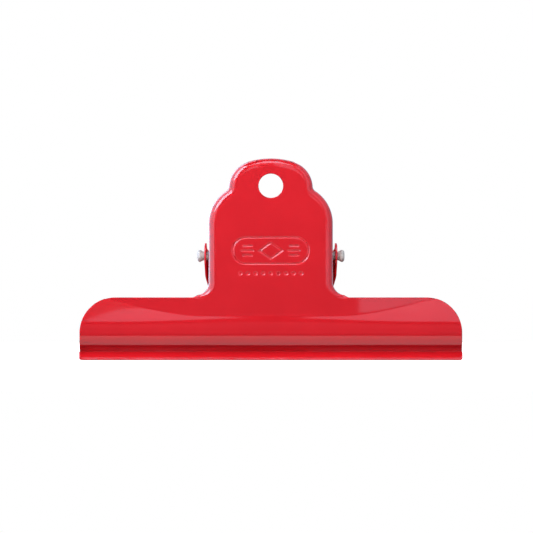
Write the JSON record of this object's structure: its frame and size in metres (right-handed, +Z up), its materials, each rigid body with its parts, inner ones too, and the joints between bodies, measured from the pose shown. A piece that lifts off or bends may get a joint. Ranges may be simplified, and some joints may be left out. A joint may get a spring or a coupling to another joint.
{
  "type": "spring clip",
  "caption": "Wide letter clip: two red enamelled steel plates hinged on a pin, with long C-shaped jaws held shut by a torsion spring and rolled-edge handles with a hanging hole.",
  "frame": {"origin": "bottom centre of the clip's box: midway along the jaws, midway between the plates, at the lips' lower edge", "axes": "+X along the jaws, +Z up the handles, -Y the front; the two plates mirror each other about Y = 0"},
  "size_m": [0.1522, 0.0354, 0.08],
  "materials": {
    "red_enamel": "gloss red enamel over stamped steel sheet",
    "plated_steel": "bright nickel plating",
    "spring_wire": "plated spring wire"
  },
  "bodies": {
    "front": {"front_plate": "red_enamel", "pivot_pin": "plated_steel", "torsion_spring": "spring_wire"},
    "rear": {"rear_plate": "red_enamel"}
  },
  "joints": [
    {"name": "jaw_hinge", "type": "hinge", "parent": "front", "child": "rear", "pos_m": [0, 0, 0.0415], "axis": [1, 0, 0], "range_deg": [0, 40], "stiffness_Nm_per_rad": 0.6, "springref_deg": -34.38, "deforming": ["torsion_spring"]}
  ]
}
